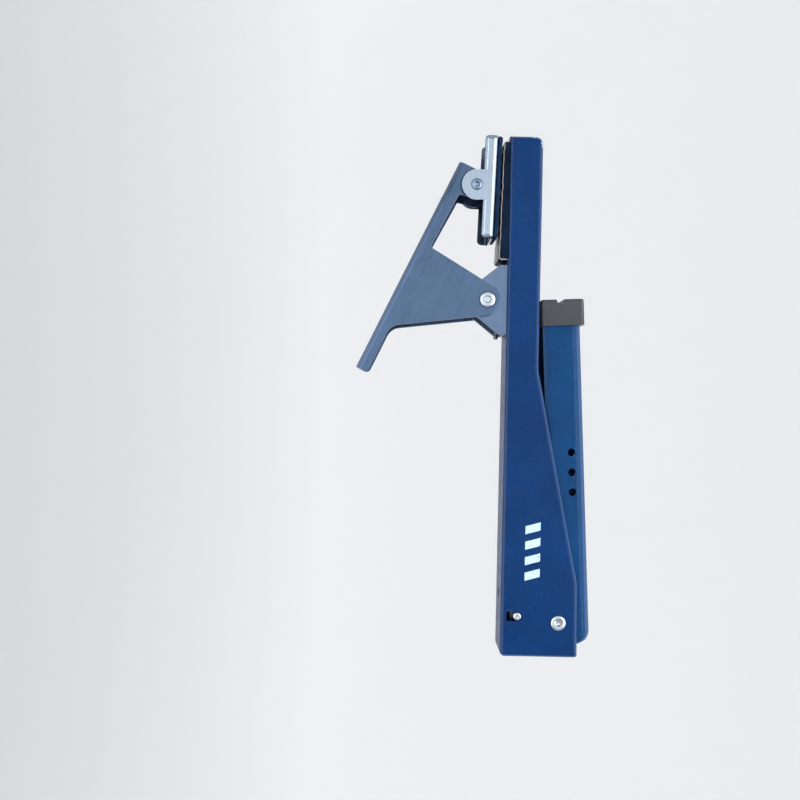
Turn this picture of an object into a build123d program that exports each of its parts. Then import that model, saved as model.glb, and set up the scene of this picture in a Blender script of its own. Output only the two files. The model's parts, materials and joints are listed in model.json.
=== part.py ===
from build123d import *
import os
from math import acos, atan2, cos, pi, radians, sin

# Table tennis net clamp: a channel arm that grips the table edge with a sprung
# lever and jaw, and carries a fold-down net post at its outer end.
# Millimetres. X runs along the arm to the post end, Z is up, Y is across.
# The origin is the middle of the arm pad's gripping face.

# ---- arm: a sheet channel, open upwards
arm_start_x = -25.0
web_z = 3.2
arm_length = 208.0
arm_lead = 0.7
arm_width = 22.0
arm_sheet = 1.5
arm_bend = 2.0
rim_low = 13.3
rim_high = 31.0
rim_slope_from = 93.0
rim_slope_to = 178.0
rim_slope_top = 30.6
end_wall_top = 12.2
relief_gap = 0.4
rod_hole_x = 184.0
rod_hole_r = 1.7

# ---- arm pad
pad_from = 1.5
pad_to = 49.0
pad_width = 21.0
pad_thin = 2.6
pad_thick = 3.8

# ---- jaw: a short channel on a pin, with its own rubber pad
jaw_x = 19.1
jaw_z = -13.1
jaw_tilt = 1.8
jaw_back = -20.5
jaw_front = 21.3
jaw_face = 7.95
jaw_depth = 5.65
jaw_width = 22.0
jaw_sheet = 1.2
jaw_bend = 2.2
jaw_ear_r = 6.0
jaw_pad_thick = 1.65
jaw_pad_width = 20.0
jaw_pin_r = 1.5
jaw_pin_head_r = 2.1
head_thick = 0.8

# ---- lever: a pressed channel from the jaw pin, past the fulcrum, to the handle end
lever_tilt = 25.6
lever_start = -5.6
lever_end = 87.0
lever_back = -10.4
lever_rim = -5.4
lever_rim_nose = -4.5
lever_sheet = 1.2
lever_bend = 2.5
lever_width = 21.6
lever_nose_width = 19.0
joggle_from = 7.5
joggle_to = 10.0
nose_r = 5.6
ear_foot = 30.7
ear_heel = 66.0
fulcrum_u = 39.2
fulcrum_n = 24.6
ear_r = 5.2

# ---- fulcrum: bracket, pin, sleeve and torsion spring
bracket_from = 51.0
bracket_to = 79.0
bracket_width = 18.2
bracket_sheet = 1.5
bracket_skirt = 3.0
bracket_ear_r = 5.6
bracket_rivets = (55.2, 74.8)
bracket_rivet_r = 1.6
bracket_rivet_head_r = 2.6
bracket_rivet_head = 1.0
fulcrum_pin_r = 2.0
fulcrum_head_r = 3.1
run_gap = 0.06
sleeve_r = 3.5
sleeve_length = 14.6
wire_r = 0.9
coil_r = 5.0
coil_turns = 4
spring_leg_side = 5.4
spring_arm_leg = 15.0
spring_gap = 0.15
spring_lever_leg_u = 61.5

# ---- post: a narrower channel that folds down over the arm
post_x = 194.0
post_z = 23.0
post_tilt = -2.9
post_back = 13.1
post_open = -3.4
post_width = 18.4
post_sheet = 1.2
post_bend = 4.0
post_foot = 10.5
post_foot_r = 6.5
post_top = 129.5
cap_height = 10.5
cap_end = 1.8
cap_wrap = 1.2
cap_lift = 0.45
cap_r = 1.5
window_from = 20.0
window_to = 70.0
window_width = 8.0
cord_hole_r = 1.6
cord_holes = (52.0, 60.0, 68.0)
cord_hole_b = 7.6
cord_groove_r = 1.6
post_rivet_r = 2.0
post_rivet_head_r = 3.0

# ---- post stop: cross pin in the arm's slots, and a leaf spring on the end wall
stop_x = 191.8
stop_slot_low = 2.2
stop_slot_top = 8.4
stop_slot_width = 3.8
stop_pin_r = 1.7
leaf_sheet = 0.6
leaf_width = 11.0
leaf_rivet_z = 9.6
leaf_rivet_r = 1.2
leaf_rivet_head_r = 2.4

clear = 60.0

arm_place = Pos(arm_start_x, 0, web_z)
jaw_place = arm_place * Pos(jaw_x, 0, jaw_z) * Rot(0, jaw_tilt, 0)
lever_place = arm_place * Pos(jaw_x, 0, jaw_z) * Rot(0, lever_tilt, 0)
post_place = arm_place * Pos(post_x, 0, post_z) * Rot(0, post_tilt, 0)


def slab(points, width, rounds=()):
    """A solid with a side outline, centred across; rounds are (corner index, radius)."""
    face = make_face(Polyline(*points, close=True))
    for index, radius in rounds:
        corner = face.vertices().sort_by_distance((*points[index], 0))[0]
        face = fillet(corner, radius)
    return extrude(Plane.XZ * face, width / 2, both=True)


def cross_bar(x, z, radius, length, y=0.0):
    """A round bar or hole that runs across the arm."""
    return Pos(x, y, z) * Rot(90, 0, 0) * Cylinder(radius, length)


def block(x0, x1, width, z0, z1):
    """A box between two stations and two heights, centred across."""
    return Pos((x0 + x1) / 2, 0, (z0 + z1) / 2) * Box(x1 - x0, width, z1 - z0)


def domed_heads(x, z, radius, span, thick):
    """A pair of rounded rivet heads on both outer faces of a part of the given width."""
    heads = cross_bar(x, z, radius, span + 2 * thick) - cross_bar(x, z, radius + 1, span)
    rims = heads.edges().filter_by(GeomType.CIRCLE).group_by(Axis.Y)
    return fillet(list(rims[0]) + list(rims[-1]), thick * 0.6)


def make_arm_channel():
    outline = [
        (-arm_lead, 0),
        (arm_length, 0),
        (arm_length, rim_high),
        (rim_slope_to, rim_slope_top),
        (rim_slope_from, rim_low),
        (-arm_lead, rim_low),
    ]
    arm = slab(outline, arm_width, [(1, arm_bend), (2, 1.0), (3, 8.0), (4, 12.0), (5, 3.2)])
    arm = fillet(arm.edges().filter_by(Axis.X).group_by(Axis.Z)[0], arm_bend)
    inside = arm_width - 2 * arm_sheet
    hollow = block(-1, arm_length - arm_sheet, inside, arm_sheet, clear)
    arm -= fillet(hollow.edges().filter_by(Axis.X).group_by(Axis.Z)[0], arm_bend - arm_sheet)
    arm -= block(arm_length - 2 * arm_sheet, arm_length + 1, inside, end_wall_top, clear)
    for side in (-1, 1):
        relief = block(arm_length - arm_sheet, arm_length + 1, relief_gap, arm_bend, clear)
        arm -= Pos(0, side * (inside - relief_gap) / 2, 0) * relief
    arm -= cross_bar(post_x, post_z, post_rivet_r, clear)
    slot = block(
        stop_x - stop_slot_width / 2,
        stop_x + stop_slot_width / 2,
        clear,
        stop_slot_low,
        stop_slot_top - stop_slot_width / 2,
    )
    arm -= slot + cross_bar(stop_x, stop_slot_top - stop_slot_width / 2, stop_slot_width / 2, clear)
    arm -= Pos(rod_hole_x, 0, 0) * Cylinder(rod_hole_r, 4 * arm_sheet)
    arm -= Pos(arm_length, 0, leaf_rivet_z) * Rot(0, 90, 0) * Cylinder(leaf_rivet_r, 4 * arm_sheet)
    for x in bracket_rivets:
        arm -= Pos(x, 0, 0) * Cylinder(bracket_rivet_r, 4 * arm_sheet)
    return arm_place * arm


def make_arm_pad():
    outline = [(pad_from, 0), (pad_to, 0), (pad_to, -pad_thick), (pad_from, -pad_thin)]
    return arm_place * slab(outline, pad_width, [(3, 1.2), (2, 0.6)])


def make_jaw_plate():
    rim = jaw_face - jaw_depth
    outline = [(jaw_back, jaw_face), (jaw_front, jaw_face), (jaw_front, rim), (jaw_back, rim)]
    jaw = slab(outline, jaw_width, [(0, 1.2), (1, 1.2), (2, 2.0), (3, 1.8)])
    jaw += cross_bar(0, 0, jaw_ear_r, jaw_width) + block(-jaw_ear_r, jaw_ear_r, jaw_width, 0, rim + 1)
    jaw = fillet(jaw.edges().filter_by(Axis.X).group_by(Axis.Z)[-1], jaw_bend)
    inside = block(jaw_back - 1, jaw_front + 1, jaw_width - 2 * jaw_sheet, -clear, jaw_face - jaw_sheet)
    jaw -= fillet(inside.edges().filter_by(Axis.X).group_by(Axis.Z)[-1], jaw_bend - jaw_sheet)
    return jaw_place * (jaw - cross_bar(0, 0, jaw_pin_r, clear))


def make_jaw_pad():
    pad = block(jaw_back + 0.6, jaw_front - 0.6, jaw_pad_width, jaw_face, jaw_face + jaw_pad_thick)
    return jaw_place * fillet(pad.edges().filter_by(Axis.Y).group_by(Axis.Z)[-1], 0.8)


def make_jaw_pin():
    pin = cross_bar(0, 0, jaw_pin_r, jaw_width)
    pin += domed_heads(0, 0, jaw_pin_head_r, jaw_width, head_thick)
    return jaw_place * pin


def lever_plan(inset):
    """The lever seen from above: a narrow nose, a joggle and the full-width beam."""
    nose = lever_nose_width / 2 - inset
    beam = lever_width / 2 - inset
    half = [(-clear, nose), (joggle_from, nose), (joggle_to, beam), (2 * clear, beam)]
    face = make_face(Polyline(*half, *[(u, -v) for u, v in reversed(half)], close=True))
    return face


def bend_edges(solid):
    """The lengthwise edges at the solid's lowest face."""
    lowest = solid.edges().group_by(Axis.Z)[0]
    return [edge for edge in lowest if abs((edge % 0).X) > 0.5]


def make_clamp_lever():
    outline = [
        (lever_start, lever_back),
        (lever_end, lever_back),
        (lever_end, lever_rim),
        (ear_heel, lever_rim),
        (fulcrum_u + ear_r * 0.9, fulcrum_n + ear_r * 0.9),
        (fulcrum_u - ear_r, fulcrum_n + ear_r),
        (ear_foot, lever_rim),
        (nose_r + 0.8, lever_rim_nose),
        (nose_r, -1.5),
        (nose_r, nose_r),
        (lever_start, nose_r),
    ]
    rounds = [(2, 2), (3, 6), (4, 4.4), (5, 4.8), (6, 1), (9, 5.4), (10, 5.4)]
    lever = slab(outline, 2 * clear, rounds)
    lever &= extrude(Pos(0, 0, -clear) * lever_plan(0), 2 * clear)
    lever = fillet(bend_edges(lever), lever_bend)
    inside = extrude(Pos(0, 0, lever_back + lever_sheet) * lever_plan(lever_sheet), 2 * clear)
    lever -= fillet(bend_edges(inside), lever_bend - lever_sheet)
    lever -= cross_bar(0, 0, jaw_pin_r + run_gap, clear)
    lever -= cross_bar(fulcrum_u, fulcrum_n, fulcrum_pin_r, clear)
    return lever_place * lever


def make_fulcrum_pin():
    pin = cross_bar(fulcrum_u, fulcrum_n, fulcrum_pin_r, lever_width)
    pin += domed_heads(fulcrum_u, fulcrum_n, fulcrum_head_r, lever_width, head_thick)
    return lever_place * pin


def fulcrum_on_arm():
    """Where the fulcrum axis sits on the arm."""
    turn = radians(lever_tilt)
    x = jaw_x + fulcrum_u * cos(turn) + fulcrum_n * sin(turn)
    z = jaw_z - fulcrum_u * sin(turn) + fulcrum_n * cos(turn)
    return x, z


def make_fulcrum_bracket():
    x, z = fulcrum_on_arm()
    outline = [
        (bracket_from, 0),
        (bracket_to, 0),
        (bracket_to, -bracket_skirt),
        (x + bracket_ear_r, z - bracket_ear_r),
        (x - bracket_ear_r, z - bracket_ear_r),
        (bracket_from, -bracket_skirt),
    ]
    bracket = slab(outline, bracket_width, [(3, bracket_ear_r * 0.8), (4, bracket_ear_r * 0.8)])
    inside = bracket_width - 2 * bracket_sheet
    bracket -= block(bracket_from - 1, bracket_to + 1, inside, -clear, -bracket_sheet)
    bracket -= cross_bar(x, z, fulcrum_pin_r + run_gap, clear)
    for rivet in bracket_rivets:
        bracket -= Pos(rivet, 0, 0) * Cylinder(bracket_rivet_r, clear)
    return arm_place * bracket


def make_bracket_rivets():
    low = -bracket_sheet
    rivets = []
    for x in bracket_rivets:
        grip = arm_sheet + bracket_sheet
        shank = Pos(x, 0, low) * Cylinder(bracket_rivet_r, grip, align=(Align.CENTER, Align.CENTER, Align.MIN))
        for z, side in ((arm_sheet, Align.MIN), (low, Align.MAX)):
            head = Cylinder(bracket_rivet_head_r, bracket_rivet_head, align=(Align.CENTER, Align.CENTER, side))
            shank += Pos(x, 0, z) * head
        rivets.append(arm_place * shank)
    return Compound(children=rivets)


def make_spring_sleeve():
    x, z = fulcrum_on_arm()
    tube = cross_bar(x, z, sleeve_r, sleeve_length) - cross_bar(x, z, fulcrum_pin_r + run_gap, clear)
    return arm_place * tube


def wire_along(path):
    """Spring wire that follows a path."""
    return sweep(Plane(origin=path @ 0, z_dir=path % 0) * Circle(wire_r), path=path, is_frenet=True)


def make_torsion_spring():
    """Coils round the sleeve, one leg under the arm and one on the lever's web."""
    x, z = fulcrum_on_arm()
    u = spring_lever_leg_u - fulcrum_u
    n = lever_back + lever_sheet + wire_r + spring_gap - fulcrum_n
    turn = radians(lever_tilt)
    reach = (u * u + n * n) ** 0.5
    leg_length = (reach * reach - coil_r * coil_r) ** 0.5
    leave = atan2(n * cos(turn) - u * sin(turn), u * cos(turn) + n * sin(turn)) - acos(coil_r / reach)
    wound = leave / (2 * pi) - 0.25 + coil_turns + 1
    coil = Helix(2 * spring_leg_side / wound, 2 * spring_leg_side, coil_r)
    start, finish = coil @ 0, coil @ 1
    along = Vector(-finish.Y, finish.X, 0) / coil_r
    spring = wire_along(coil)
    for joint in (start, finish):
        spring += Pos(joint.X, joint.Y, joint.Z) * Sphere(wire_r * 1.03)
    spring += wire_along(Line(start, start - Vector(0, spring_arm_leg, 0)))
    spring += wire_along(Line(finish, finish + along * leg_length))
    upright = Rot(90, 0, 0) * Rot(0, 0, 90) * Pos(0, 0, -spring_leg_side)
    return arm_place * Pos(x, 0, z) * upright * spring


def make_post_channel():
    outline = [(-post_top, post_back), (post_foot, post_back), (post_foot, post_open), (-post_top, post_open)]
    top = -(post_top - cap_end)
    outline = [(max(x, top), z) for x, z in outline]
    post = slab(outline, post_width, [(1, post_foot_r), (2, 5.0)])
    long_edges = post.edges().filter_by(Axis.X).group_by(Axis.Z)[-1]
    post = fillet(long_edges, post_bend)
    hollow = block(-clear * 4, clear, post_width - 2 * post_sheet, -clear, post_back - post_sheet)
    post -= fillet(hollow.edges().filter_by(Axis.X).group_by(Axis.Z)[-1], post_bend - post_sheet)
    post -= cross_bar(0, 0, post_rivet_r + run_gap, clear)
    for s in cord_holes:
        post -= cross_bar(-s, cord_hole_b, cord_hole_r, clear)
    ends = window_width / 2
    window = block(-window_to + ends, -window_from - ends, window_width, post_back - 3, clear)
    for s in (window_from + ends, window_to - ends):
        window += Pos(-s, 0, post_back) * Cylinder(ends, 6)
    return post_place * (post - window)


def make_post_cap():
    low, high = -post_top, -(post_top - cap_height)
    cap = block(low, high, arm_width, post_open + cap_lift, post_back + cap_wrap)
    cap = fillet(cap.edges().filter_by(Axis.X), cap_r)
    cap = fillet(cap.edges().group_by(Axis.X)[0], 0.8)
    inside = post_width - 2 * post_sheet
    skin = block(low + cap_end, high + 1, post_width, -clear, post_back)
    skin = fillet(skin.edges().filter_by(Axis.X).group_by(Axis.Z)[-1], post_bend)
    core = block(low + cap_end - 1, high + 2, inside, -clear, post_back - post_sheet)
    core = fillet(core.edges().filter_by(Axis.X).group_by(Axis.Z)[-1], post_bend - post_sheet)
    cap -= skin - core
    cap -= cross_bar(low, (post_open + post_back) / 2, cord_groove_r, clear)
    cap -= Pos(low, 0, 1.5) * Rot(0, 90, 0) * Cylinder(rod_hole_r, clear)
    return post_place * cap


def make_post_rivet():
    rivet = cross_bar(post_x, post_z, post_rivet_r, arm_width)
    rivet += domed_heads(post_x, post_z, post_rivet_head_r, arm_width, head_thick)
    return arm_place * rivet


def make_stop_pin():
    return arm_place * cross_bar(stop_x, stop_slot_top - stop_pin_r, stop_pin_r, arm_width)


def make_detent_leaf():
    wall = arm_length - arm_sheet
    low = arm_sheet + leaf_sheet
    under_pin = stop_slot_top - 2 * stop_pin_r
    top_side = [(wall, end_wall_top), (wall, low - leaf_sheet), (stop_x + 9, low - leaf_sheet)]
    top_side += [(stop_x + 4, under_pin - leaf_sheet), (stop_x - 4, under_pin - leaf_sheet)]
    back = [(stop_x - 4, under_pin), (stop_x + 4.3, under_pin), (stop_x + 9.3, low)]
    back += [(wall - leaf_sheet, low), (wall - leaf_sheet, end_wall_top)]
    leaf = slab(top_side + back, leaf_width, [(1, 1.2), (8, 0.6)])
    leaf -= Pos(arm_length, 0, leaf_rivet_z) * Rot(0, 90, 0) * Cylinder(leaf_rivet_r, 6 * arm_sheet)
    return arm_place * leaf


def make_detent_rivet():
    grip_from = arm_length - arm_sheet - leaf_sheet
    turn = Rot(0, 90, 0)
    length = arm_length - grip_from
    shank = Pos(grip_from + length / 2, 0, leaf_rivet_z) * turn * Cylinder(leaf_rivet_r, length)
    for x in (grip_from - head_thick / 2, arm_length + head_thick / 2):
        shank += Pos(x, 0, leaf_rivet_z) * turn * Cylinder(leaf_rivet_head_r, head_thick)
    return arm_place * shank


parts = {
    "arm_channel": make_arm_channel(),
    "arm_pad": make_arm_pad(),
    "fulcrum_bracket": make_fulcrum_bracket(),
    "bracket_rivets": make_bracket_rivets(),
    "spring_sleeve": make_spring_sleeve(),
    "torsion_spring": make_torsion_spring(),
    "clamp_lever": make_clamp_lever(),
    "fulcrum_pin": make_fulcrum_pin(),
    "jaw_plate": make_jaw_plate(),
    "jaw_pad": make_jaw_pad(),
    "jaw_pin": make_jaw_pin(),
    "post_channel": make_post_channel(),
    "post_cap": make_post_cap(),
    "post_rivet": make_post_rivet(),
    "stop_pin": make_stop_pin(),
    "detent_leaf": make_detent_leaf(),
    "detent_rivet": make_detent_rivet(),
}

os.makedirs("parts", exist_ok=True)
for name, solid in parts.items():
    export_step(solid, f"parts/{name}.step")
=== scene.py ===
import bpy
import bmesh
import json
from math import acos, atan2, cos, hypot, pi, radians, sin
from mathutils import Matrix, Vector


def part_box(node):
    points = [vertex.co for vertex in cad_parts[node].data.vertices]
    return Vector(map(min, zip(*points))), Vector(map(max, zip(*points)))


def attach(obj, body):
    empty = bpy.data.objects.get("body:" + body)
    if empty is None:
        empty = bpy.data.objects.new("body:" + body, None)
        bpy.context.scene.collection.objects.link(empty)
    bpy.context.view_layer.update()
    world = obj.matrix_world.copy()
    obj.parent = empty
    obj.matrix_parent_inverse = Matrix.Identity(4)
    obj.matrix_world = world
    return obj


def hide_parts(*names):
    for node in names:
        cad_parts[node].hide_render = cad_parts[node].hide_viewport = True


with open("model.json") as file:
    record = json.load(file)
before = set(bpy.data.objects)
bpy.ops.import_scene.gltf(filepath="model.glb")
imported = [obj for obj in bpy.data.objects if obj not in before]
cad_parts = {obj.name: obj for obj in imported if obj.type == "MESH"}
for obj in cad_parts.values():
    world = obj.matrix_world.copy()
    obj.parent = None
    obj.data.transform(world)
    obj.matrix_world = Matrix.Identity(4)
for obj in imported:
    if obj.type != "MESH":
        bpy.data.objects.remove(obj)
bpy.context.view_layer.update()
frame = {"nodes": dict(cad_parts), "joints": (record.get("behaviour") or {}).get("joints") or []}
nodes = frame["nodes"]
mm = 0.001

# ---------------------------------------------------------------- positions from the record
pivot = {joint["name"]: Vector(joint["pos_m"]) for joint in frame["joints"]}
fulcrum, jaw_axis, post_axis = pivot["lever_hinge"], pivot["jaw_swivel"], pivot["post_fold"]
arm_low, arm_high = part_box("arm_channel")
half_width = arm_high.y


# ---------------------------------------------------------------- shader helpers
class Shader:
    """A procedural material, with short calls for the nodes that all of them use."""

    def __init__(self, name, **fixed):
        self.material = bpy.data.materials.new(name)
        self.material.use_nodes = True
        self.tree = self.material.node_tree
        self.bsdf = self.tree.nodes["Principled BSDF"]
        for socket, value in fixed.items():
            self.bsdf.inputs[socket.replace("_", " ")].default_value = value
        self.place = self.add("ShaderNodeTexCoord").outputs["Object"]

    def add(self, kind, **inputs):
        """A node with its inputs set by name, with _ for each space."""
        node = self.tree.nodes.new(kind)
        for socket, value in inputs.items():
            self.feed(node.inputs[socket.replace("_", " ")], value)
        return node

    def feed(self, socket, value):
        """Link another node's output to a socket, or set the socket's own value."""
        if isinstance(value, bpy.types.NodeSocket):
            self.tree.links.new(value, socket)
        else:
            socket.default_value = value

    def split(self, vector=None):
        """The X, Y and Z of a vector, or of the place on the object."""
        return self.add("ShaderNodeSeparateXYZ", Vector=self.place if vector is None else vector).outputs

    def scaled(self, x, y, z, turn=0.0):
        """The place on the object, turned about Y, then stretched for streaks along one axis."""
        turned = self.add("ShaderNodeMapping", Vector=self.place, Rotation=(0, -turn, 0))
        stretched = self.add("ShaderNodeMapping", Vector=turned.outputs["Vector"], Scale=(x, y, z))
        return stretched.outputs["Vector"]

    def edges(self, radius, low=0.03, high=0.22):
        """1 on sharp outer and inner edges, 0 on open faces."""
        rounded = self.add("ShaderNodeBevel", Radius=radius)
        rounded.samples = 4
        plain = self.add("ShaderNodeNewGeometry").outputs["Normal"]
        dot = self.add("ShaderNodeVectorMath")
        dot.operation = "DOT_PRODUCT"
        self.feed(dot.inputs[0], rounded.outputs["Normal"])
        self.feed(dot.inputs[1], plain)
        return self.spread(self.maths("SUBTRACT", 1.0, dot.outputs["Value"]), low, high, 0, 1)

    def facing(self, axis):
        """The part of the surface's own direction along X, Y or Z, fixed to the piece."""
        return self.split(self.add("ShaderNodeTexCoord").outputs["Normal"])[axis]

    def bends(self, low=0.80, high=0.98):
        """1 along the round bends between a side face and the web, 0 on both faces."""
        across = self.maths("ABSOLUTE", self.facing(1))
        rest = self.maths("SQRT", self.maths("SUBTRACT", 1.0, self.product(across, across)))
        return self.spread(self.product(across, rest, 2.0), low, high, 0, 1)

    def ring(self, centre, radius, half):
        """1 on a soft-edged ring about a cross pin's axis."""
        place = self.split()
        along = self.maths("SUBTRACT", place[0], centre.x)
        height = self.maths("SUBTRACT", place[2], centre.z)
        square = self.maths("ADD", self.product(along, along), self.product(height, height))
        off = self.maths("ABSOLUTE", self.maths("SUBTRACT", self.maths("SQRT", square), radius))
        return self.spread(off, half * 0.5, half, 1, 0)

    def noise(self, where, scale, detail=3.0, rough=0.55):
        node = self.add("ShaderNodeTexNoise", Vector=where, Scale=scale, Detail=detail, Roughness=rough)
        return node.outputs["Fac"]

    def ramp(self, value, stops):
        """A value turned into a colour, by (position, colour) stops."""
        node = self.add("ShaderNodeValToRGB", Fac=value)
        ramp = node.color_ramp
        while len(ramp.elements) < len(stops):
            ramp.elements.new(0.5)
        for element, (at, shade) in zip(ramp.elements, stops):
            element.position = at
            element.color = (*shade, 1)
        return node.outputs["Color"]

    def maths(self, how, a, b=0.0):
        node = self.add("ShaderNodeMath")
        node.operation = how
        for socket, value in zip(node.inputs, (a, b)):
            self.feed(socket, value)
        return node.outputs[0]

    def product(self, first, *others):
        """The first value times all the others."""
        for other in others:
            first = self.maths("MULTIPLY", first, other)
        return first

    def spread(self, value, low, high, out_low, out_high):
        """The range from low to high stretched onto another one, and held at its ends."""
        node = self.add("ShaderNodeMapRange", Value=value)
        limits = {"From Min": low, "From Max": high, "To Min": out_low, "To Max": out_high}
        for socket, number in limits.items():
            node.inputs[socket].default_value = number
        return node.outputs["Result"]

    def mix(self, factor, a, b):
        """From a to b, both colours, or numbers that become greys."""
        node = self.add("ShaderNodeMix")
        node.data_type = "RGBA"
        self.feed(node.inputs["Factor"], factor)
        self.feed(node.inputs[6], a)
        self.feed(node.inputs[7], b)
        return node.outputs[2]

    def coat(self, factor, under, over):
        """An opaque film of one colour over a shade, as far as the factor says."""
        return self.mix(factor, under, (*over, 1))

    def bump(self, height, depth, strength=1.0, base=None):
        """A surface direction roughened by a height, on top of another one if there is a base."""
        node = self.add("ShaderNodeBump", Height=height)
        node.inputs["Distance"].default_value = depth
        node.inputs["Strength"].default_value = strength
        if base is not None:
            self.feed(node.inputs["Normal"], base)
        return node.outputs["Normal"]

    def finish(self, **linked):
        """The material, with these values linked to its inputs."""
        for socket, value in linked.items():
            self.tree.links.new(value, self.bsdf.inputs[socket.replace("_", " ")])
        return self.material


def grey(level):
    return (level, level, level)


def colour(red, green, blue):
    """A screen colour, 0 to 255, as the linear values that a shader takes."""
    def linear(c):
        c /= 255
        return c / 12.92 if c <= 0.04045 else ((c + 0.055) / 1.055) ** 2.4
    return (linear(red), linear(green), linear(blue))


# ---------------------------------------------------------------- materials
printed_white = colour(176, 205, 228)
rubbed_and_highlit_enamel = colour(120, 146, 184)
bare_steel = colour(205, 212, 220)
grey_dust = (0.35, 0.38, 0.42)
painted_channel_shade = colour(34, 50, 78)
painted_ring_shade = colour(30, 44, 70)
pale_lint = (0.2, 0.22, 0.25)
painted_edge_reflection = colour(200, 188, 182)

rim_depth = 13.3 * mm
rim_width = 1.0 * mm
chipped_length = 5.0 * mm


def times(shade, factor, more=0.0):
    """A plain colour made lighter or darker, up to white."""
    return [min(1, c * factor + more) for c in shade]


def blue_enamel(name, base, bars=None):
    """Glossy stoved enamel: soft orange peel, faint mottling, dust, hairline scratches, rubbed edges and a
    painted highlight along the bends.
    """
    s = Shader(name, Coat_Weight=0.02, Coat_Roughness=0.08, Specular_IOR_Level=0.08)
    mottle = s.noise(s.place, 60, 4)
    shade = s.ramp(mottle, [(0.3, times(base, 0.86)), (0.7, times(base, 1.14))])
    scratch = s.noise(s.scaled(30, 900, 900), 3, 2)
    shade = s.coat(s.spread(scratch, 0.70, 0.76, 0, 0.35), shade, times(base, 2.2, 0.02))
    if bars:
        shade = s.coat(bars(s), shade, printed_white)
    patchy = s.spread(s.noise(s.place, 420, 4), 0.46, 0.6, 0.12, 1)
    # Rubbed patches along the sharp edges, and a painted highlight along the round bends, both in a paler
    # enamel.
    edge_rub = s.product(s.edges(0.5 * mm), patchy, 0.14)
    rub_and_bend_highlight = s.maths("MAXIMUM", edge_rub, s.product(s.bends(), 0.17))
    shade = s.coat(rub_and_bend_highlight, shade, rubbed_and_highlit_enamel)
    shade = s.coat(corner_chips(s), shade, bare_steel)
    dust = s.spread(s.noise(s.place, 900, 2), 0.62, 0.75, 0, 0.06)
    shade = s.coat(dust, shade, grey_dust)
    peel = s.bump(s.noise(s.place, 1100, 2), 0.02 * mm, 0.35)
    peel = s.bump(scratch, 0.01 * mm, 0.25, peel)
    rough = s.spread(s.noise(s.place, 220, 3), 0.3, 0.7, 0.27, 0.36)
    return s.finish(Base_Color=shade, Roughness=rough, Normal=peel)


def corner_chips(s):
    """Small chips in the enamel along the rim's corner at the arm's inner end."""
    place = s.split()
    end = s.maths("SUBTRACT", place[0], arm_low.x)
    below_rim = s.maths("SUBTRACT", arm_low.z + rim_depth, place[2])
    corner = s.maths("LESS_THAN", s.maths("ADD", end, below_rim), chipped_length)
    rim = s.maths("LESS_THAN", s.maths("MINIMUM", end, below_rim), rim_width)
    flaked = s.spread(s.noise(s.place, 1000, 3), 0.52, 0.57, 0, 0.85)
    return s.product(corner, rim, flaked)


def zinc(name, base, low, high, turn=0.0, grain=1.0, bend_highlight=0.5, shade_within=None, shade_rings=()):
    """Zinc-plated pressed steel: rolling streaks along the sheet, cloudy plating and fine pits.

    Its roughness runs from low to high, and the streaks slope by turn.
    Inside a channel, nearer the middle than the given distance, the inner walls get a painted shade.
    The rings are painted shade where pin heads and the jaw's ear sit on the sheet, each as (centre, radius,
    half the ring's width).
    """
    s = Shader(name, Metallic=1.0)
    streak = s.noise(s.scaled(14, 700, 700, turn), 1.6, 5, 0.7)
    cloud = s.noise(s.place, 140, 5, 0.6)
    both = s.maths("ADD", s.product(streak, 0.6), s.product(cloud, 0.4))
    shade = s.ramp(both, [(0.32, times(base, 0.84)), (0.52, base), (0.7, times(base, 1.10))])
    # Sharp edges rubbed brighter, and a painted highlight along the round bends, as strong as the bend
    # factor says.
    bright = s.maths("MAXIMUM", s.product(s.edges(0.4 * mm), 0.4), s.product(s.bends(), bend_highlight))
    shade = s.coat(bright, shade, times(base, 1.7, 0.05))
    pits = s.spread(s.noise(s.place, 1600, 2), 0.68, 0.78, 0, 0.4 * grain)
    shade = s.coat(pits, shade, times(base, 0.45))
    # Painted shade on the channel's inner walls.
    if shade_within:
        inside = s.maths("LESS_THAN", s.maths("ABSOLUTE", s.split()[1]), shade_within)
        wall = s.maths("GREATER_THAN", s.maths("ABSOLUTE", s.facing(1)), 0.5)
        shade = s.coat(s.product(inside, wall, 0.8), shade, painted_channel_shade)
    # Painted shade in rings where pin heads and the jaw's ear sit on the sheet.
    for centre, radius, half in shade_rings:
        shade = s.coat(s.product(s.ring(centre, radius, half), 0.7), shade, painted_ring_shade)
    rough = s.spread(both, 0.35, 0.65, low, high)
    face = s.bump(streak, 0.02 * mm, 0.2 * grain)
    face = s.bump(s.noise(s.place, 1400, 3), 0.01 * mm, 0.35 * grain, face)
    return s.finish(Base_Color=shade, Roughness=rough, Normal=face)


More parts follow.
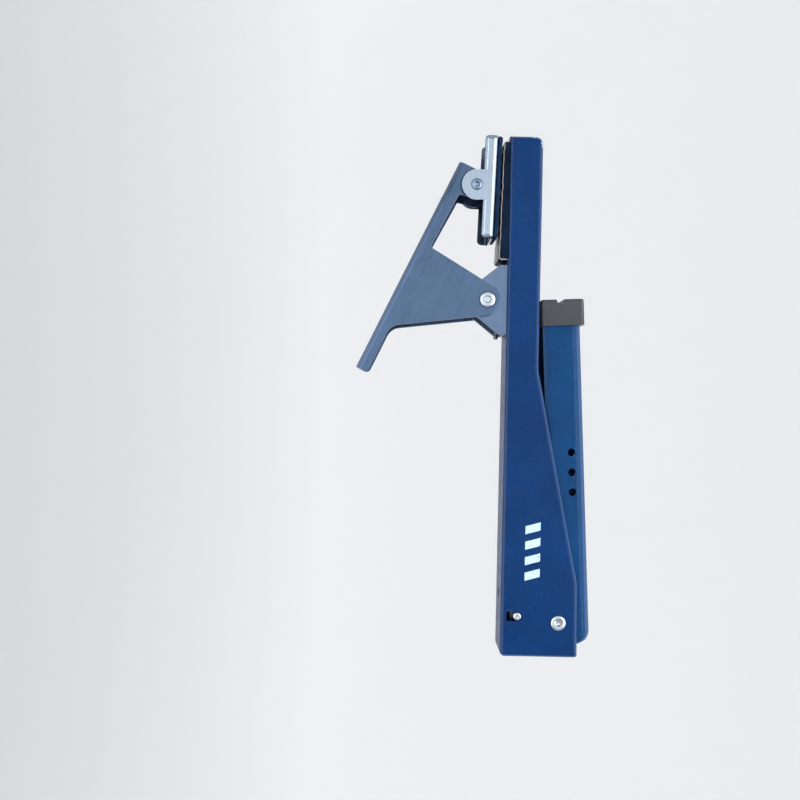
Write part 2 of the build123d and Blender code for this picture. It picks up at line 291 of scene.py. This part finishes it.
def rubber(name, tone=1.0, wear_and_edge_reflection=0.0):
    """Black moulded rubber: dry bluish sides with fine pits and lint, a face polished by gripping, and a
    painted pale reflection along the face's rounded edges.
    """
    s = Shader(name)
    bloom = s.noise(s.place, 90, 5, 0.65)
    stops = [(0.35, colour(3, 12, 28)), (0.62, colour(8, 25, 46)), (0.8, colour(18, 40, 66))]
    shade = s.ramp(bloom, [(at, times(dark, tone)) for at, dark in stops])
    lint = s.spread(s.noise(s.scaled(500, 1400, 900), 1, 3), 0.72, 0.8, 0, 0.15)
    shade = s.coat(lint, shade, pale_lint)
    grip = s.spread(s.maths("ABSOLUTE", s.facing(2)), 0.6, 0.9, 0, 1)
    # A painted pale reflection along the rounded edges of the gripping face, in patches.
    patchy = s.spread(s.noise(s.place, 500, 3), 0.4, 0.6, 0.7 * wear_and_edge_reflection, wear_and_edge_reflection)
    shade = s.coat(s.product(s.bends(0.7, 0.9), patchy), shade, painted_edge_reflection)
    shine = s.spread(grip, 0, 1, 0.06, 0.4)
    dry_rough = s.spread(bloom, 0.3, 0.7, 0.52, 0.72)
    polished_rough = s.spread(bloom, 0.3, 0.7, 0.22, 0.34)
    rough = s.mix(grip, dry_rough, polished_rough)
    face = s.bump(s.noise(s.place, 1300, 4, 0.7), 0.05 * mm, 0.35)
    return s.finish(Base_Color=shade, Roughness=rough, Specular_IOR_Level=shine, Normal=face)


def moulded(name, base):
    """Moulded plastic with a faint grain and scuffs."""
    s = Shader(name, IOR=1.48)
    cloud = s.noise(s.place, 120, 4)
    shade = s.ramp(cloud, [(0.3, times(base, 0.8)), (0.7, times(base, 1.3))])
    scuff = s.spread(s.noise(s.scaled(90, 600, 600), 2, 3), 0.66, 0.74, 0, 0.25)
    shade = s.coat(scuff, shade, times(base, 3, 0.04))
    face = s.bump(s.noise(s.place, 1800, 3), 0.03 * mm, 0.4)
    return s.finish(Base_Color=shade, Roughness=s.spread(cloud, 0.3, 0.7, 0.36, 0.5), Normal=face)


bar_count = 4
bar_pitch = 6.2 * mm
bar_share = 0.52
bar_slant = 0.28
bars_from = arm_high.x - 49 * mm
bar_low = arm_low.z + 9.2 * mm
bar_high = arm_low.z + 15.2 * mm


def printed_bars(s):
    """Four slanted printed bars on both side plates, by the outer end."""
    place = s.split()
    along = s.maths("ADD", s.maths("SUBTRACT", place[0], bars_from), s.product(place[2], bar_slant))
    count = s.maths("DIVIDE", along, bar_pitch)
    inside = s.maths("LESS_THAN", s.maths("FRACT", count), bar_share)
    for value, low, high in ((count, 0, bar_count), (place[2], bar_low, bar_high)):
        inside = s.product(inside, s.maths("GREATER_THAN", value, low), s.maths("LESS_THAN", value, high))
    outer = s.maths("GREATER_THAN", s.maths("ABSOLUTE", place[1]), half_width - 0.2 * mm)
    wear_and_edge_reflection = s.spread(s.noise(s.place, 1500, 3), 0.33, 0.4, 0.25, 1)
    return s.product(inside, outer, wear_and_edge_reflection)


lever_turn = radians(25.6)  # how far the lever slopes down from the arm at rest

paint = blue_enamel("arm_enamel", colour(3, 42, 87), printed_bars)
post_paint = blue_enamel("post_enamel", colour(5, 52, 94))
jaw_zinc = zinc(
    "jaw_zinc", colour(146, 160, 174), 0.20, 0.32, grain=0.5, bend_highlight=0.1,
    shade_within=10.2 * mm, shade_rings=[(jaw_axis, 2.15 * mm, 0.3 * mm)],
)
# The lever has the jaw's zinc plating; its darker base colour is painted shade.
lever_zinc = zinc(
    "lever_zinc", colour(73, 92, 117), 0.24, 0.38, turn=lever_turn, grain=0.7,
    shade_rings=[(jaw_axis, 6.2 * mm, 0.5 * mm), (fulcrum, 3.2 * mm, 0.4 * mm)],
)
bracket_zinc = zinc("bracket_zinc", colour(88, 106, 130), 0.26, 0.40)
nickel = zinc("nickel", colour(176, 184, 192), 0.14, 0.26, grain=0.5)
spring_steel = zinc("spring_steel", colour(92, 97, 105), 0.24, 0.4, grain=0.6)
black_rubber = rubber("black_rubber", wear_and_edge_reflection=0.8)
jaw_rubber = rubber("jaw_rubber", tone=2.2)
jaw_grey = zinc("jaw_pin_zinc", colour(122, 140, 162), 0.22, 0.4)
cap_plastic = moulded("cap_plastic", colour(30, 34, 42))


# ---------------------------------------------------------------- mesh helpers
ease_from = radians(50)  # sheet edges sharper than this are eased
crease_from = radians(35)  # turns sharper than this stay creased in the shading


def piece(name, mesh, material, body, *replaced):
    """A mesh that rides on a body, in its material's slot, in place of the CAD pieces it replaces."""
    obj = bpy.data.objects.new(name, mesh)
    bpy.context.scene.collection.objects.link(obj)
    mesh.materials.clear()
    mesh.materials.append(material)
    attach(obj, body)
    if replaced:
        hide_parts(*replaced)
    return obj


def smooth_by_angle(mesh, angle):
    """Smooth faces, with sharp edges where the surface turns by more than the angle."""
    work = bmesh.new()
    work.from_mesh(mesh)
    for face in work.faces:
        face.smooth = True
    for edge in work.edges:
        edge.smooth = not (len(edge.link_faces) == 2 and edge.calc_face_angle(0) > angle)
    work.to_mesh(mesh)
    work.free()


def eased(node, body, material, width):
    """The CAD piece with its sharp sheet edges eased, as a tumbled and plated pressing has."""
    mesh = nodes[node].data.copy()
    work = bmesh.new()
    work.from_mesh(mesh)
    bmesh.ops.remove_doubles(work, verts=work.verts, dist=1e-7)
    bmesh.ops.dissolve_limit(work, angle_limit=radians(0.5), verts=work.verts, edges=work.edges)
    work.to_mesh(mesh)
    work.free()
    for attribute in ("custom_normal", "sharp_edge", "sharp_face"):
        if attribute in mesh.attributes:
            mesh.attributes.remove(mesh.attributes[attribute])
    obj = piece(node + "_eased", mesh, material, body, node)
    bevel = obj.modifiers.new("ease", "BEVEL")
    bevel.width = width
    bevel.segments = 2
    bevel.limit_method = "ANGLE"
    bevel.angle_limit = ease_from
    bevel.use_clamp_overlap = True
    graph = bpy.context.evaluated_depsgraph_get()
    done = bpy.data.meshes.new_from_object(obj.evaluated_get(graph))
    obj.modifiers.clear()
    obj.data = done
    smooth_by_angle(done, crease_from)
    flat = obj.modifiers.new("flat_faces", "WEIGHTED_NORMAL")
    flat.weight, flat.keep_sharp = 100, True
    return obj


def lathe(name, outline, centre, material, body, *replaced, steps=48):
    """A turned piece about the Y direction from (distance along, radius) points."""
    work = bmesh.new()
    rings = []
    for along, radius in outline:
        ring = []
        for k in range(steps):
            a = 2 * pi * k / steps
            ring.append(work.verts.new((radius * cos(a), along, radius * sin(a))))
        rings.append(ring)
    for low, high in zip(rings, rings[1:]):
        for k in range(steps):
            work.faces.new((low[k], low[(k + 1) % steps], high[(k + 1) % steps], high[k]))
    work.faces.new(rings[0])
    work.faces.new(rings[-1])
    bmesh.ops.recalc_face_normals(work, faces=work.faces)
    bmesh.ops.translate(work, verts=work.verts, vec=centre)
    mesh = bpy.data.meshes.new(name)
    work.to_mesh(mesh)
    work.free()
    smooth_by_angle(mesh, radians(38))
    return piece(name, mesh, material, body, *replaced)


def loft(name, rings, material, body, *replaced, angle=40.0):
    """A closed piece through rings that all have the same number of points."""
    work = bmesh.new()
    made = [[work.verts.new(p) for p in ring] for ring in rings]
    count = len(made[0])
    for low, high in zip(made, made[1:]):
        for k in range(count):
            work.faces.new((low[k], low[(k + 1) % count], high[(k + 1) % count], high[k]))
    work.faces.new(made[0])
    work.faces.new(made[-1])
    bmesh.ops.recalc_face_normals(work, faces=work.faces)
    mesh = bpy.data.meshes.new(name)
    work.to_mesh(mesh)
    work.free()
    smooth_by_angle(mesh, radians(angle))
    return piece(name, mesh, material, body, *replaced)


def tube(name, points, radius, material, body, *replaced, sides=20):
    """A round wire through the points, with eased ends."""
    points = [Vector(p) for p in points]
    ahead = [(b - a).normalized() for a, b in zip(points, points[1:])]
    ahead = [ahead[0]] + [(a + b).normalized() for a, b in zip(ahead, ahead[1:])] + [ahead[-1]]
    side = ahead[0].orthogonal().normalized()
    rings = []

    def ring(centre, direction, r):
        other = direction.cross(side)
        angles = [2 * pi * k / sides for k in range(sides)]
        return [centre + r * (side * cos(a) + other * sin(a)) for a in angles]

    ease = radius * 0.3
    rings.append(ring(points[0], ahead[0], radius - ease))
    rings.append(ring(points[0] + ahead[0] * ease, ahead[0], radius))
    for centre, direction in zip(points[1:-1], ahead[1:-1]):
        side = (side - direction * side.dot(direction)).normalized()
        rings.append(ring(centre, direction, radius))
    side = (side - ahead[-1] * side.dot(ahead[-1])).normalized()
    rings.append(ring(points[-1] - ahead[-1] * ease, ahead[-1], radius))
    rings.append(ring(points[-1], ahead[-1], radius - ease))
    return loft(name, rings, material, body, *replaced)


# ---------------------------------------------------------------- rubber pads
wave_pitch = 5.1 * mm
soft_edge = 0.45 * mm
end_drop, end_length = 0.7 * mm, 0.9 * mm  # how the gripping face rounds off at the ends
inset = 0.02 * mm  # keeps the pad's waves inside the CAD pad


def wavy_pad(name, node, body, material, ends, back, faces, half, centre, turn, seed):
    """A moulded pad whose gripping face is pressed into soft uneven waves across it.

    It runs along X between the ends, from its back to the faces' heights at either end,
    half a width to each side, about a centre and turned about Y.
    """
    start, stop = ends
    steps, rings = 150, []
    tilt = Matrix.Rotation(turn, 4, "Y")
    grip = 1 if faces[0] > back else -1
    for i in range(steps + 1):
        t = i / steps
        x = start + (stop - start) * t
        wave = 0.5 - 0.5 * cos(2 * pi * (x - start) / wave_pitch + 0.7 * sin(9 * t + seed))
        drop = (0.16 + 0.10 * sin(17 * t + seed)) * mm * wave
        edge = min(t, 1 - t) * (stop - start)
        round_off = end_drop * max(0.0, 1 - edge / end_length) ** 2
        face = faces[0] + (faces[1] - faces[0]) * t - grip * (drop + round_off + inset)
        wide = half - (0.10 + 0.08 * sin(23 * t + seed)) * mm * wave - 0.4 * round_off
        section = [(-wide, back), (wide, back), (wide, face - grip * soft_edge)]
        section += [(wide - soft_edge * 0.3, face - grip * soft_edge * 0.3), (wide - soft_edge, face)]
        section += [(-y, z) for y, z in reversed(section[2:])]
        rings.append([centre + tilt @ Vector((x, y, z)) for y, z in section])
    return loft(name, rings, material, body, node, angle=55.0)


pad_low, pad_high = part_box("arm_pad")
arm_pad_thin, arm_pad_thick = 2.6 * mm, 3.8 * mm
wavy_pad(
    "arm_pad_moulded", "arm_pad", "arm", black_rubber,
    ends=(pad_low.x, pad_high.x), back=pad_high.z,
    faces=(pad_high.z - arm_pad_thin, pad_high.z - arm_pad_thick), half=pad_high.y,
    centre=Vector((0, 0, 0)), turn=0.0, seed=1.3,
)
jaw_pad_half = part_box("jaw_pad")[1].y
jaw_pad_ends = (-19.9 * mm, 20.7 * mm)  # from the jaw's pin, as are the next two
jaw_pad_back, jaw_pad_face = 7.95 * mm, 9.6 * mm
jaw_tilt = radians(1.8)
wavy_pad(
    "jaw_pad_moulded", "jaw_pad", "jaw", jaw_rubber,
    ends=jaw_pad_ends, back=jaw_pad_back,
    faces=(jaw_pad_face, jaw_pad_face), half=jaw_pad_half,
    centre=jaw_axis, turn=jaw_tilt, seed=4.1,
)


# ---------------------------------------------------------------- rivets and pins
rivet_head_height = 0.8 * mm


def hollow_head(radius, out, shank, tall):
    """From the middle outwards: the rolled rim and well of a semi-tubular rivet head."""
    well = radius * 0.44
    return [
        (out - 1.9 * tall, well * 0.55), (out - 1.8 * tall, well * 0.85), (out - 0.42 * tall, well),
        (out - 0.10 * tall, well * 1.15), (out, well * 1.45), (out - 0.02 * tall, radius * 0.74),
        (out - 0.14 * tall, radius * 0.88), (out - 0.40 * tall, radius * 0.98), (out - 0.62 * tall, radius),
        (out - tall, radius), (out - tall, shank),
    ]


def cross_rivet(name, node, body, radius, shank, centre, material=nickel):
    """A rivet right across the clamp, with the same head at both ends."""
    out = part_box(node)[1].y
    half = hollow_head(radius, out, shank, rivet_head_height)
    outline = half + [(-along, r) for along, r in reversed(half)]
    return lathe(name, outline, Vector((centre.x, 0, centre.z)), material, body, node)


jaw_pin_head, jaw_pin_shank = 2.1 * mm, 1.49 * mm
fulcrum_head, post_head, rivet_shank = 3.1 * mm, 3.0 * mm, 1.99 * mm
cross_rivet("jaw_pin_rivet", "jaw_pin", "jaw", jaw_pin_head, jaw_pin_shank, jaw_axis, jaw_grey)
cross_rivet("fulcrum_pin_rivet", "fulcrum_pin", "lever", fulcrum_head, rivet_shank, fulcrum)
cross_rivet("post_rivet_head", "post_rivet", "arm", post_head, rivet_shank, post_axis)

pin_low, pin_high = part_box("stop_pin")
pin_r, pin_out = (pin_high.x - pin_low.x) / 2, pin_high.y
pin_end = [
    (pin_out - 0.1 * mm, pin_r * 0.3), (pin_out, pin_r * 0.55),
    (pin_out - 0.12 * mm, pin_r * 0.8), (pin_out - 0.5 * mm, pin_r),
]
lathe(
    "stop_pin_turned", pin_end + [(-along, r) for along, r in reversed(pin_end)],
    Vector(((pin_low.x + pin_high.x) / 2, 0, (pin_low.z + pin_high.z) / 2)), nickel, "arm", "stop_pin",
)


# ---------------------------------------------------------------- torsion spring
wire_r, coil_r, leg_side = 0.9 * mm, 5.0 * mm, 5.4 * mm
coil_turns, coil_steps = 5, 150
tail, tail_steps = 15.0 * mm, 6
lever_along = Vector((cos(lever_turn), 0, -sin(lever_turn)))
lever_up = Vector((sin(lever_turn), 0, cos(lever_turn)))
rest = 22.3 * mm * lever_along - 32.7 * mm * lever_up  # where the leg presses on the lever
reach = hypot(rest.x, rest.z)
leave = atan2(rest.z, rest.x) - acos(coil_r / reach)
wound = leave + 2 * pi * coil_turns - pi / 2


def on_coil(angle, y):
    return fulcrum + Vector((coil_r * cos(angle), y, coil_r * sin(angle)))


coil = [fulcrum + Vector((tail * (1 - k / tail_steps), leg_side, coil_r)) for k in range(tail_steps)]
for k in range(coil_steps + 1):
    coil.append(on_coil(pi / 2 + wound * k / coil_steps, leg_side * (1 - 2 * k / coil_steps)))
tube("spring_coil", coil, wire_r, spring_steel, "arm", "torsion_spring")
leg_start = on_coil(leave, -leg_side)
leg_end = fulcrum + rest + Vector((0, -leg_side, 0))
ahead = (leg_end - leg_start).normalized()
leg = [leg_start + ahead * 0.1 * mm] + [leg_start.lerp(leg_end, k / 10) for k in range(1, 11)]
tube("spring_leg", leg, wire_r * 0.995, spring_steel, "lever")


# ---------------------------------------------------------------- CAD pieces, with their edges eased
eased("arm_channel", "arm", paint, 0.28 * mm)
eased("post_channel", "post", post_paint, 0.25 * mm)
eased("clamp_lever", "lever", lever_zinc, 0.22 * mm)
eased("jaw_plate", "jaw", jaw_zinc, 0.22 * mm)
eased("fulcrum_bracket", "arm", bracket_zinc, 0.2 * mm)
eased("spring_sleeve", "arm", bracket_zinc, 0.2 * mm)
eased("bracket_rivets", "arm", nickel, 0.35 * mm)
eased("detent_leaf", "arm", spring_steel, 0.1 * mm)
eased("detent_rivet", "arm", nickel, 0.3 * mm)
eased("post_cap", "post", cap_plastic, 0.3 * mm)


# ---------------------------------------------------------------- stage, lights and camera
def studio_bowl():
    """A pale floor that curves up into a backdrop all round."""
    floor_z, backdrop_height, pale_from = -0.70, 3.0, 0.5
    inner, flat, rise, sides = 0.02, 0.9, 0.8, 64
    outline = [(inner + flat * k / 4, floor_z) for k in range(5)]
    for k in range(1, 13):
        a = pi / 2 * k / 12
        outline.append((flat + rise * sin(a), floor_z + rise * (1 - cos(a))))
    outline.append((flat + rise, floor_z + backdrop_height))
    work = bmesh.new()
    rings = []
    for r, z in outline:
        angles = [2 * pi * k / sides for k in range(sides)]
        rings.append([work.verts.new((r * cos(a), r * sin(a), z)) for a in angles])
    work.faces.new(rings[0])
    for low, high in zip(rings, rings[1:]):
        for k in range(sides):
            work.faces.new((low[k], low[(k + 1) % sides], high[(k + 1) % sides], high[k])).smooth = True
    mesh = bpy.data.meshes.new("studio_floor")
    work.to_mesh(mesh)
    work.free()
    obj = bpy.data.objects.new("studio_floor", mesh)
    bpy.context.scene.collection.objects.link(obj)
    s = Shader("studio_paper", Roughness=0.9)
    height = s.spread(s.split()[2], floor_z, floor_z + pale_from, 0, 1)
    tone = s.ramp(height, [(0, grey(0.66)), (1, grey(0.92))])
    mesh.materials.append(s.finish(Base_Color=tone))


def soft_light(name, where, size, power):
    """A rectangular lamp aimed at the middle of the clamp."""
    data = bpy.data.lights.new(name, "AREA")
    data.shape, data.size, data.size_y = "RECTANGLE", size[0], size[1]
    data.energy = power
    lamp = bpy.data.objects.new(name, data)
    lamp.location = where
    lamp.rotation_mode = "QUATERNION"
    lamp.rotation_quaternion = (middle - Vector(where)).to_track_quat("-Z", "Y")
    bpy.context.scene.collection.objects.link(lamp)


studio_bowl()
middle = Vector((79 * mm, 0, -10 * mm))
soft_light("key", (0.02, -0.80, -0.02), size=(0.6, 0.6), power=1.15)
soft_light("top", (0.10, -0.25, 0.80), size=(0.9, 0.5), power=3.0)
soft_light("fill", (0.55, 0.70, 0.35), size=(0.8, 0.8), power=1.6)
soft_light("strip", (0.08, -0.62, 0.52), size=(0.9, 0.30), power=6.0)
soft_light("left", (0.08, -0.55, -0.34), size=(0.9, 0.10), power=1.6)
soft_light("low", (0.10, -0.10, -0.38), size=(0.7, 0.5), power=0.7)

world = bpy.data.worlds.new("studio")
bpy.context.scene.world = world
world.use_nodes = True
background = world.node_tree.nodes["Background"]
background.inputs["Color"].default_value = (0.92, 0.95, 1.0, 1)
background.inputs["Strength"].default_value = 1.02
bpy.context.scene.view_settings.view_transform = "Standard"

# The photograph looks square on at the arm's side plate, with the arm's inner end upwards.
photo_lean = 0.021  # how far the photo's own upright runs off the arm's length
from_inner_end, from_side, below_web = 106.8 * mm, 0.400, 42.1 * mm
right = Vector((-photo_lean, 0, 1)).normalized()
up = Vector((-1, 0, -photo_lean)).normalized()
back = right.cross(up)
eye = Vector((arm_low.x + from_inner_end, -half_width - from_side, arm_low.z - below_web))
camera_data = bpy.data.cameras.new("photo_camera")
camera_data.lens, camera_data.sensor_width = 45, 36
camera_data.clip_start = 0.01
camera = bpy.data.objects.new("photo_camera", camera_data)
camera.matrix_world = Matrix.Translation(eye) @ Matrix((right, up, back)).transposed().to_4x4()
bpy.context.scene.collection.objects.link(camera)
bpy.context.scene.camera = camera
